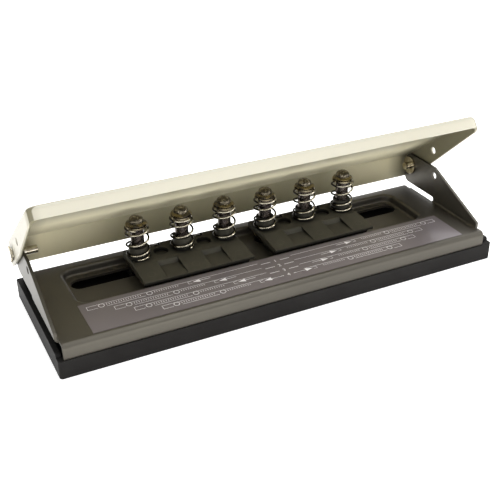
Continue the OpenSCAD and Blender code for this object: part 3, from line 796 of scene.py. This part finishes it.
FINISHES: dict[Slot, Finish] = {
    Slot.FRAME: Finish(
        "frame_satin", (0.088, 0.080, 0.064), (0.074, 0.067, 0.054), 0.4, metallic=0.65,
        broad=18, fine=5200, spread=0.12, depth=0.004 * MM, coat=0.05, coat_roughness=0.3,
        soft_edge=0.2 * MM,
    ),
    Slot.LEVER: LeverFinish(
        "lever_enamel", (0.455, 0.434, 0.355), (0.44, 0.418, 0.34), 0.36, broad=14,
        fine=2800, spread=0.08, depth=0.003 * MM, coat=0.08, specular=0.22,
    ),
    Slot.TRAY: Finish(
        "tray_moulding", (0.013, 0.012, 0.0115), (0.017, 0.016, 0.0152), 0.5, broad=45,
        fine=3800, spread=0.18, soft_edge=0.25 * MM, specular=0.05,
    ),
    Slot.LABEL: Finish(
        "label_sheet", (0.158, 0.137, 0.146), (0.171, 0.148, 0.158), 0.42, metallic=0.25,
        broad=22, fine=4200, spread=0.06, depth=0.002 * MM, coat=0.35, coat_roughness=0.14,
    ),
    Slot.BLOCK: BlockFinish(
        "block_moulding", (0.041, 0.038, 0.027), (0.050, 0.046, 0.033), 0.5, broad=60,
        fine=3400, spread=0.14, depth=0.012 * MM, soft_edge=0.2 * MM, specular=0.3,
    ),
    Slot.PUNCH: PunchFinish(
        "punch_steel", (0.15, 0.13, 0.125), (0.09, 0.075, 0.06), 0.26, metallic=1.0,
        broad=520, fine=2600, spread=0.16, depth=0.004 * MM,
    ),
    Slot.PLATED: Finish(
        "nickel_plate", (0.34, 0.30, 0.21), (0.20, 0.165, 0.10), 0.22, metallic=1.0,
        broad=300, fine=3000, spread=0.12, depth=0.003 * MM,
    ),
    Slot.WIRE: WireFinish(
        "drawn_wire", (0.62, 0.58, 0.48), (0.42, 0.38, 0.29), 0.18, metallic=1.0,
        broad=260, fine=4200, spread=0.14, depth=0.003 * MM,
    ),
    Slot.DARK: Finish(
        "pivot_nickel", (0.80, 0.76, 0.66), (0.45, 0.40, 0.30), 0.17, metallic=1.0,
        broad=420, fine=3000, spread=0.14, depth=0.004 * MM,
    ),
}
PRINT_INK = Finish(
    "print_ink", (0.92, 0.90, 0.91), (0.80, 0.78, 0.79), 0.45, broad=900, fine=4000,
    spread=0.08, depth=0.001 * MM,
)
SCREW_FINISH = Finish(
    "screw_steel", (0.05, 0.045, 0.04), (0.08, 0.07, 0.055), 0.32, metallic=1.0,
    broad=600, fine=3000, spread=0.16, depth=0.004 * MM,
)


# Sub-assemblies


@dataclass
class PunchingUnit:
    """Springs and screws of the two sliding blocks.

    Attributes:
        coil_radius: Radius of a spring's middle line.
        wire_radius: Radius of the wire.
        wire_sides: Number of sides round the wire.
        seat: Height of a spring's foot.
        length: Length of a spring at rest.
        turns: Number of its turns.
        steps: Number of steps to a turn.
        crowding: How much closer the end turns lie, from 0 to 1.
        keep: Share of its length that a pressed spring keeps; not used.
        smooth: Degrees up to which the wire is shaded smooth.
        spring_turns: Degrees by which all springs are turned, and from one to the next.
        head_radius: Radius of a screw's head.
        head_height: Its height.
        head_round: Radius of its rounded edge.
        head_segments: Number of steps in that edge.
        screw_sides: Number of sides round a screw.
        shank_radius: Radius of a screw's shank.
        shank_length: Its length.
        cross: Length, width and twice the depth of an arm of the cross recess.
        screw_turns: Degrees by which the two screws of a block are turned.
    """

    coil_radius: float = 4.5 * MM
    wire_radius: float = 0.425 * MM
    wire_sides: int = 14
    seat: float = 16.4 * MM
    length: float = 13.9 * MM
    turns: float = 4.0
    steps: int = 40
    crowding: float = 0.65
    keep: float = (13.9 - 4.9) / 13.9
    smooth: float = 60
    spring_turns: Span = (200, 47)
    head_radius: float = 1.5 * MM
    head_height: float = 0.9 * MM
    head_round: float = 0.32 * MM
    head_segments: int = 4
    screw_sides: int = 32
    shank_radius: float = 0.7 * MM
    shank_length: float = 1.6 * MM
    cross: Point = (1.7 * MM, 0.4 * MM, 1.0 * MM)
    screw_turns: Span = (20, 65)

    def wind_spring(self) -> Piece:
        """Winds one spring about the Z axis, with its foot at the origin.

        Returns:
            The spring.
        """
        bpy.ops.mesh.primitive_circle_add(
            vertices=self.wire_sides, radius=self.wire_radius, fill_type="NOTHING",
            location=(self.coil_radius, 0, self.wire_radius), rotation=(math.pi / 2, 0, 0),
        )
        spring = new_piece("spring_pattern")
        bpy.ops.object.transform_apply(location=True, rotation=True, scale=True)
        climb = self.length - 2 * self.wire_radius
        steps = int(self.steps * self.turns)
        apply_modifier(
            spring, "SCREW", axis="Z", angle=FULL_TURN * self.turns, steps=steps,
            render_steps=steps, screw_offset=climb, use_merge_vertices=False,
        )
        for vertex in spring.data.vertices:
            turn = math.atan2(vertex.co.y, vertex.co.x) / FULL_TURN % 1
            whole = (vertex.co.z - self.wire_radius) / climb * self.turns
            share = (round(whole - turn) + turn) / self.turns
            vertex.co.z -= self.crowding * math.sin(FULL_TURN * share) / FULL_TURN * climb
        pick(spring, everywhere)
        bpy.ops.mesh.select_mode(type="EDGE")
        bpy.ops.mesh.select_all(action="DESELECT")
        bpy.ops.mesh.select_non_manifold()
        bpy.ops.mesh.fill_holes(sides=0)
        leave_edit()
        settle(spring, self.smooth)
        return spring

    def cut_screw(self) -> Piece:
        """Turns a pan-head screw with a cross recess, its head standing on the origin.

        Returns:
            The screw.
        """
        bpy.ops.mesh.primitive_cylinder_add(
            vertices=self.screw_sides, radius=self.head_radius, depth=self.head_height,
            location=(0, 0, self.head_height / 2),
        )
        screw = new_piece("screw_pattern")
        bpy.ops.object.transform_apply(location=True)
        pick(screw, faces_down)
        bpy.ops.mesh.inset(thickness=self.head_radius - self.shank_radius)
        bpy.ops.mesh.extrude_region_move(
            TRANSFORM_OT_translate={"value": (0, 0, -self.shank_length)}
        )
        leave_edit()
        round_edges(screw, self.head_round, self.head_segments, 50)
        arms = []
        for turn in (0, FULL_TURN / 4):
            bpy.ops.mesh.primitive_cube_add(
                size=1, location=(0, 0, self.head_height), rotation=(0, 0, turn)
            )
            arm = new_piece("screw_cutter")
            arm.scale = self.cross
            bpy.ops.object.transform_apply(location=True, rotation=True, scale=True)
            arms.append(arm)
        for arm in arms:
            apply_modifier(screw, "BOOLEAN", object=arm, operation="DIFFERENCE", solver="EXACT")
        discard(*arms)
        settle(screw)
        return screw

    def build(self, materials: dict[Slot, Material]) -> None:
        """Makes the six springs and the four screws of the wells.

        Args:
            materials: The material of each slot.
        """
        spring = self.wind_spring()
        for number in range(1, 7):
            low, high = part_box(f"punch_{number}")
            x, y = (low.x + high.x) / 2, (low.y + high.y) / 2
            angle = self.spring_turns[0] + self.spring_turns[1] * number
            piece = copy_to(spring, f"wound_spring_{number}", turned_at((x, y, self.seat), angle))
            block = "block_left" if number < 4 else "block_right"
            hand_over(piece, block, materials[Slot.WIRE], f"spring_{number}")
            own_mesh(piece)
        screw = self.cut_screw()
        steel = SCREW_FINISH.build()
        for side in Side:
            node = f"guide_screws_{side.label}"
            low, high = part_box(node)
            reach = (high.x - low.x) / 2 - self.head_radius
            middle, line = (low.x + high.x) / 2, (low.y + high.y) / 2
            pair = []
            for place, angle in zip((middle - reach, middle + reach), self.screw_turns):
                spot = turned_at((place, line, high.z - self.head_height), angle)
                pair.append(copy_to(screw, "screw", spot))
            piece = join(pair, f"cross_screws_{side.label}")
            hand_over(piece, f"block_{side.label}", steel, node)
        discard(spring, screw)


@dataclass
class PivotCrowns:
    """Toothed push-on nuts on the outer ends of the pivot pins.

    Attributes:
        radius: Radius between the teeth.
        tooth: Length of a tooth.
        thickness: Thickness of the disc.
        teeth: Number of teeth.
        rim: Width of the flat rim.
        slope: Width of the slope inside the rim.
        dish: Depth of the dished middle.
        soft: Radius of the rounded edges.
    """

    radius: float = 2.75 * MM
    tooth: float = 0.55 * MM
    thickness: float = 0.7 * MM
    teeth: int = 12
    rim: float = 0.8 * MM
    slope: float = 0.5 * MM
    dish: float = 0.25 * MM
    soft: float = 0.08 * MM

    def build(self, materials: dict[Slot, Material]) -> None:
        """Makes one crown for each end.

        Args:
            materials: The material of each slot.
        """
        bpy.ops.mesh.primitive_cylinder_add(
            vertices=3 * self.teeth, radius=self.radius, depth=self.thickness
        )
        crown = new_piece("crown_pattern")
        step = FULL_TURN / self.teeth

        def on_tooth(centre: Vector, normal: Vector) -> bool:
            """Passes every third face of the rim."""
            around = (math.atan2(centre.y, centre.x) - step / 6) / step
            return abs(normal.z) < 0.1 and abs(around - round(around)) < 0.1

        pick(crown, on_tooth)
        bpy.ops.mesh.extrude_faces_move(TRANSFORM_OT_shrink_fatten={"value": self.tooth})
        leave_edit()
        pick(crown, faces_up)
        bpy.ops.mesh.inset(thickness=self.rim, depth=-self.dish)
        bpy.ops.mesh.inset(thickness=self.slope, depth=self.dish)
        leave_edit()
        round_edges(crown, self.soft, 2, 40)
        settle(crown)
        for side in Side:
            low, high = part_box(f"pivot_pin_{side.label}")
            outer = low.x if side is Side.LEFT else high.x
            spot = Matrix.Translation((
                outer - side.value * self.thickness / 2,
                (low.y + high.y) / 2,
                (low.z + high.z) / 2,
            ))
            turned = Matrix.Rotation(side.value * FULL_TURN / 4, 4, "Y")
            piece = copy_to(crown, f"pin_crown_{side.label}", spot @ turned)
            hand_over(piece, "base", materials[Slot.DARK])
        discard(crown)


@dataclass
class GaugePrint:
    """White marks on the gauge label: rings, brackets, ticks, arrows, lines and row numbers.

    The first three sizes and the last two are in metres, the others in millimetres. Places
    in X count from the print's middle, places in Y from the tray's front.

    Attributes:
        middle: The print's middle in X.
        front: The tray's front in Y.
        rise: Height of the ink.
        rows: Each row's Y, and the X of its outer ring.
        pitch: From ring to ring.
        lane: Half the height of a row.
        stroke: Width of a thin line.
        tail: From the outer ring to the row's end.
        bracket_gap: From the outer ring to its bracket.
        line_gap: From a ring to the end of a line.
        tick_gap: From a ring to the end of the ticks.
        tick_start: From the third hole to its ticks.
        tick: Width, height and step of the ticks, and how far behind the row they lie.
        core: Where a row's line starts.
        dash: Both ends and half the width of the dash beside a number.
        tip_gap: From the third hole to an arrow's head.
        head: Radii, across and along, of the triangle of an arrow's head.
        shaft: Both ends, from its head, and half the width of an arrow's shaft.
        hook: Start, end and outer edge of the hook beyond an arrow's tip.
        hook_half: Its inner and outer half height.
        number_size: Height of a number.
        ring_radius: Radius of a ring.
        ring_stroke: Width of its line.
    """

    middle: float = -0.3 * MM
    front: float = -31.5 * MM
    rise: float = 0.012 * MM
    rows: tuple[Span, ...] = ((19.1, 73.1), (15.25, 63.6), (11.3, 57.15), (7.5, 47.6))
    pitch: float = 19.05
    lane: float = 1.2
    stroke: float = 0.15
    tail: float = 5.6
    bracket_gap: float = 1.6
    line_gap: float = 1.9
    tick_gap: float = 2.0
    tick_start: float = 6.4
    tick: tuple[float, float, float, float] = (0.2, 0.9, 0.95, 0.1)
    core: float = 7.5
    dash: Point = (2.2, 6.4, 0.14)
    tip_gap: float = 0.8
    head: Span = (1.15, 2.1)
    shaft: Point = (5.4, 0.8, 0.1)
    hook: Point = (2.4, 3.9, 3.95)
    hook_half: Span = (0.62, 0.75)
    number_size: float = 2.5
    ring_radius: float = 1.2 * MM
    ring_stroke: float = 0.22 * MM

    def raise_up(self, piece: Piece) -> Piece:
        """Gives a flat mark the height of the ink.

        Args:
            piece: The flat mark.

        Returns:
            The same piece.
        """
        pick(piece, everywhere)
        bpy.ops.mesh.extrude_region_move(TRANSFORM_OT_translate={"value": (0, 0, self.rise)})
        leave_edit()
        return piece

    def bar(self, x0: float, x1: float, y0: float, y1: float) -> Piece:
        """Draws a straight mark.

        Args:
            x0: Left end.
            x1: Right end.
            y0: Front edge.
            y1: Back edge.

        Returns:
            The mark.
        """
        spot = ((x0 + x1) / 2 * MM, (y0 + y1) / 2 * MM, 0)
        bpy.ops.mesh.primitive_plane_add(size=1, location=spot)
        piece = new_piece("mark")
        piece.scale = (abs(x1 - x0) * MM, abs(y1 - y0) * MM, 1)
        bpy.ops.object.transform_apply(location=True, scale=True)
        return self.raise_up(piece)

    def ring(self, x: float, y: float) -> Piece:
        """Draws a ring about a point.

        Args:
            x: Place of its middle.
            y: The same in Y.

        Returns:
            The ring.
        """
        bpy.ops.mesh.primitive_circle_add(
            vertices=28, radius=self.ring_radius, fill_type="NGON", location=(x * MM, y * MM, 0)
        )
        piece = new_piece("mark")
        bpy.ops.object.transform_apply(location=True)
        pick(piece, everywhere)
        bpy.ops.mesh.inset(thickness=self.ring_stroke)
        bpy.ops.mesh.delete(type="FACE")
        leave_edit()
        return self.raise_up(piece)

    def arrow(self, x: float, y: float, way: int) -> list[Piece]:
        """Draws an arrow that points to one end of the punch, and a hook beyond its tip.

        Args:
            x: Place of its head's middle.
            y: The same in Y.
            way: -1 towards the left end, 1 towards the right.

        Returns:
            Its parts.
        """
        bpy.ops.mesh.primitive_circle_add(
            vertices=3, radius=1, fill_type="NGON", location=(x * MM, y * MM, 0),
            rotation=(0, 0, -way * FULL_TURN / 4),
        )
        head = new_piece("mark")
        head.scale = (self.head[0] * MM, self.head[1] * MM, 1)
        bpy.ops.object.transform_apply(location=True, rotation=True, scale=True)
        far, near, half = self.shaft
        start, inner, outer = self.hook
        low, high = self.hook_half
        return [
            self.raise_up(head),
            self.bar(x - way * far, x - way * near, y - half, y + half),
            self.bar(x + way * start, x + way * inner, y + low, y + high),
            self.bar(x + way * start, x + way * inner, y - high, y - low),
            self.bar(x + way * (outer - self.stroke), x + way * outer, y - high, y + high),
        ]

    def ticks(self, x0: float, x1: float, y: float) -> Piece:
        """Draws a run of short ticks.

        Args:
            x0: One end.
            x1: The other end.
            y: Middle of the row.

        Returns:
            The run.
        """
        width, height, step, rise = self.tick
        start, middle = min(x0, x1), y + rise
        piece = self.bar(start, start + width, middle - height / 2, middle + height / 2)
        apply_modifier(
            piece, "ARRAY", count=int(abs(x1 - x0) / step), use_relative_offset=False,
            use_constant_offset=True, constant_offset_displace=(step * MM, 0, 0),
        )
        return piece

    def number(self, value: int, y: float) -> Piece:
        """Draws a row's plain number in the middle of the row.

        Args:
            value: The number.
            y: Middle of the row.

        Returns:
            The number as a mesh.
        """
        bpy.ops.object.text_add()
        text = bpy.context.object
        text.data.body = str(value)
        text.data.size = self.number_size * MM
        text.data.align_x = "CENTER"
        text.data.align_y = "CENTER"
        bpy.ops.object.convert(target="MESH")
        piece = new_piece("mark")
        piece.location = (0, y * MM, 0)
        bpy.ops.object.transform_apply(location=True)
        return self.raise_up(piece)

    def half_row(self, y: float, outer: float, way: int) -> list[Piece]:
        """Draws one end's half of a row.

        Args:
            y: Middle of the row.
            outer: Distance of its outer ring from the middle.
            way: -1 for the left end, 1 for the right.

        Returns:
            Its marks.
        """
        end = outer + self.tail
        second = outer - self.pitch
        third = second - self.pitch
        low, high, thin = y - self.lane, y + self.lane, self.stroke
        return [
            self.ring(way * outer, y),
            self.ring(way * second, y),
            *self.arrow(way * (third - self.tip_gap), y, way),
            self.bar(way * end, way * (end - thin), low, high),
            self.bar(way * (outer + self.bracket_gap), way * end, low, low + thin),
            self.bar(way * self.core, way * end, high - thin, high),
            self.bar(
                way * (second + self.line_gap), way * (outer - self.line_gap), low, low + thin
            ),
            self.ticks(way * (second + self.tick_gap), way * (outer - self.tick_gap), y),
            self.ticks(way * (third + self.tick_start), way * (second - self.tick_gap), y),
        ]

    def build(self) -> None:
        """Prints the label."""
        marks: list[Piece] = []
        near, far, half = self.dash
        for index, (y, outer) in enumerate(self.rows):
            for side in Side:
                marks += self.half_row(y, outer, side.value)
            marks.append(self.number(index + 1, y))
            for x0, x1 in ((-far, -near), (near, far)):
                marks.append(self.bar(x0, x1, y - half, y + half))
        piece = join(marks, "gauge_print")
        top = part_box("gauge_label")[1].z
        piece.data.transform(Matrix.Translation((self.middle, self.front, top)))
        settle(piece)
        hand_over(piece, "base", PRINT_INK.build())


class SolidDresser:
    """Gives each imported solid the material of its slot, and the pivots their bright nickel."""

    def build(self, materials: dict[Slot, Material]) -> None:
        """Dresses the solids.

        Args:
            materials: The material of each slot.
        """
        chosen = {row["node"]: row["material_slot"] for row in frame["record"]["subparts"]}
        for name, node in frame["nodes"].items():
            slot = Slot(chosen[name])
            look = Slot.DARK if name.startswith("pivot") else slot
            node.data.materials.clear()
            node.data.materials.append(materials[look])


# Studio


@dataclass(frozen=True)
class Lamp:
    """A soft area light.

    Attributes:
        name: Its name.
        place: Where it stands.
        target: What it looks at.
        size: Width and height of its face.
        power: Its power in watts.
    """

    name: str
    place: Point
    target: Point
    size: Span
    power: float

    def light(self) -> None:
        """Adds the light to the scene."""
        data = bpy.data.lights.new(self.name, "AREA")
        data.shape = "RECTANGLE"
        data.size, data.size_y = self.size
        data.energy = self.power
        lamp = bpy.data.objects.new(self.name, data)
        lamp.location = self.place
        ray = Vector(self.target) - Vector(self.place)
        lamp.rotation_euler = ray.to_track_quat("-Z", "Y").to_euler()
        bpy.context.scene.collection.objects.link(lamp)


@dataclass
class Studio:
    """Floor, world, lights and camera.

    Attributes:
        camera_place: Where the camera stands.
        camera_angles: Its pitch, yaw and roll in degrees.
        lens: Its focal length in millimetres.
        sensor: Width of its sensor in millimetres.
        clip: Nearest and farthest distance that it sees.
        floor_size: Length of the floor's sides.
        floor_drop: How far it lies below the punch.
        floor_pale: Its two colours.
        floor_cloud: Scale of its clouds, per metre.
        floor_roughness: Its roughness.
        floor_glow: Its added brightness.
        front_glow: Painted light: the extra glow of a strip before the punch, on top of that.
        front_strip: Where in Y the strip starts, is full, fades and ends.
        sky: Brightness of the sky near the horizon and overhead.
        sky_fade: Heights between which it brightens.
        backdrop: Added brightness of the backdrop behind the punch.
        backdrop_y: Where it starts and is full, in a direction's Y.
        backdrop_x: The same in X.
        front_fill: Added brightness of the room before the punch.
        front_y: Where it starts and is full, in a direction's Y.
        lamps: The lights.
    """

    camera_place: Point = (-0.14376, -0.27906, 0.18969)
    camera_angles: Point = (29.46, 26.36, -0.24)
    lens: float = 62.30664
    sensor: float = 36
    clip: Span = (0.01, 20)
    floor_size: float = 6.0
    floor_drop: float = 0.2 * MM
    floor_pale: Pair = ((0.93, 0.93, 0.925), (0.95, 0.95, 0.945))
    floor_cloud: float = 3
    floor_roughness: float = 0.9
    floor_glow: float = 0.6
    front_glow: float = 3.4
    front_strip: tuple[float, float, float, float] = (-0.36, -0.20, -0.10, -0.07)
    sky: Span = (0.16, 0.9)
    sky_fade: Span = (0.15, 0.95)
    backdrop: float = 2.0
    backdrop_y: Span = (0.35, 0.75)
    backdrop_x: Span = (0.15, 0.5)
    front_fill: float = 0.2
    front_y: Span = (-0.2, -0.8)
    lamps: tuple[Lamp, ...] = (
        Lamp("key", (0.32, -0.62, 0.88), (0, 0, 0.02), (0.5, 0.4), 2.9),
        Lamp("top", (0.20, 0.30, 0.9), (0, 0, 0), (0.9, 0.5), 7.5),
        Lamp("left", (-0.90, -0.35, 0.18), (0, 0, 0.02), (0.6, 0.3), 1.6),
        Lamp("right", (0.80, -0.35, 0.30), (0, 0, 0.02), (0.3, 0.4), 2.5),
    )

    def camera(self) -> None:
        """Places the camera at the photograph's viewing angle."""
        pitch, yaw, roll = (math.radians(angle) for angle in self.camera_angles)
        data = bpy.data.cameras.new("camera")
        data.lens = self.lens
        data.sensor_width = self.sensor
        data.clip_start, data.clip_end = self.clip
        camera = bpy.data.objects.new("camera", data)
        camera.matrix_world = (
            Matrix.Translation(self.camera_place)
            @ Matrix.Rotation(-yaw, 4, "Z")
            @ Matrix.Rotation(FULL_TURN / 4 - pitch, 4, "X")
            @ Matrix.Rotation(roll, 4, "Z")
        )
        bpy.context.scene.collection.objects.link(camera)
        bpy.context.scene.camera = camera

    def floor(self) -> None:
        """Lays a plain pale glowing floor, with a strip before the punch that glows brighter as a
        painted light on the lever's underside.
        """
        bpy.ops.mesh.primitive_plane_add(size=1, location=(0, 0, -self.floor_drop))
        floor = new_piece("studio_floor")
        floor.scale = (self.floor_size, self.floor_size, 1)
        bpy.ops.object.transform_apply(scale=True)
        pick(floor, everywhere)
        bpy.ops.mesh.subdivide(number_cuts=3)
        leave_edit()
        material = bpy.data.materials.new("studio_floor")
        material.use_nodes = True
        w = Wiring(material.node_tree)
        place = w.add("ShaderNodeTexCoord").outputs["Object"]
        y = w.split(place)[1]
        # Painted light: the glowing strip stands in for a lamp that lights the lever from below.
        start, full, fade, end = self.front_strip
        strip = w.math("MULTIPLY", w.ramp(y, start, full), w.ramp(y, fade, end, 1, 0))
        glow = w.math("ADD", w.math("MULTIPLY", strip, self.front_glow), self.floor_glow)
        shader = material.node_tree.nodes["Principled BSDF"]
        w.fill(shader, {
            "Base Color": w.mix(w.noise(place, self.floor_cloud), *self.floor_pale),
            "Roughness": self.floor_roughness, "Emission Color": WHITE,
            "Emission Strength": glow,
        })
        floor.data.materials.append(material)

    def world(self) -> None:
        """Makes a sky that brightens towards the zenith, and looks white itself."""
        world = bpy.data.worlds.new("studio_world")
        bpy.context.scene.world = world
        world.use_nodes = True
        w = Wiring(world.node_tree)
        x, y, z = w.split(w.add("ShaderNodeTexCoord").outputs["Generated"])
        sky = w.ramp(z, *self.sky_fade, *self.sky)
        behind = w.math("MULTIPLY", w.ramp(y, *self.backdrop_y), w.ramp(x, *self.backdrop_x))
        before = w.math("MULTIPLY", w.ramp(y, *self.front_y), self.front_fill)
        added = w.math("ADD", before, w.math("MULTIPLY", behind, self.backdrop))
        seen = w.add("ShaderNodeLightPath").outputs["Is Camera Ray"]
        strength = w.math("MAXIMUM", w.math("ADD", sky, added), seen)
        w.fill(world.node_tree.nodes["Background"], {"Color": WHITE, "Strength": strength})

    def build(self) -> None:
        """Sets up the whole studio."""
        self.camera()
        self.floor()
        self.world()
        for lamp in self.lamps:
            lamp.light()
        scene = bpy.context.scene
        scene.view_settings.view_transform = "Standard"
        scene.view_settings.look = "None"


def main() -> None:
    """Builds the pieces in order and dresses them."""
    logging.basicConfig(level=logging.INFO, format="%(name)s: %(message)s")
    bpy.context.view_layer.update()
    GROUPS["surface"] = surface_group()
    GROUPS["marks"] = ring_marks_group()
    materials = {slot: finish.build() for slot, finish in FINISHES.items()}
    SolidDresser().build(materials)
    PunchingUnit().build(materials)
    PivotCrowns().build(materials)
    GaugePrint().build()
    Studio().build()


if __name__ == "__main__":
    main()
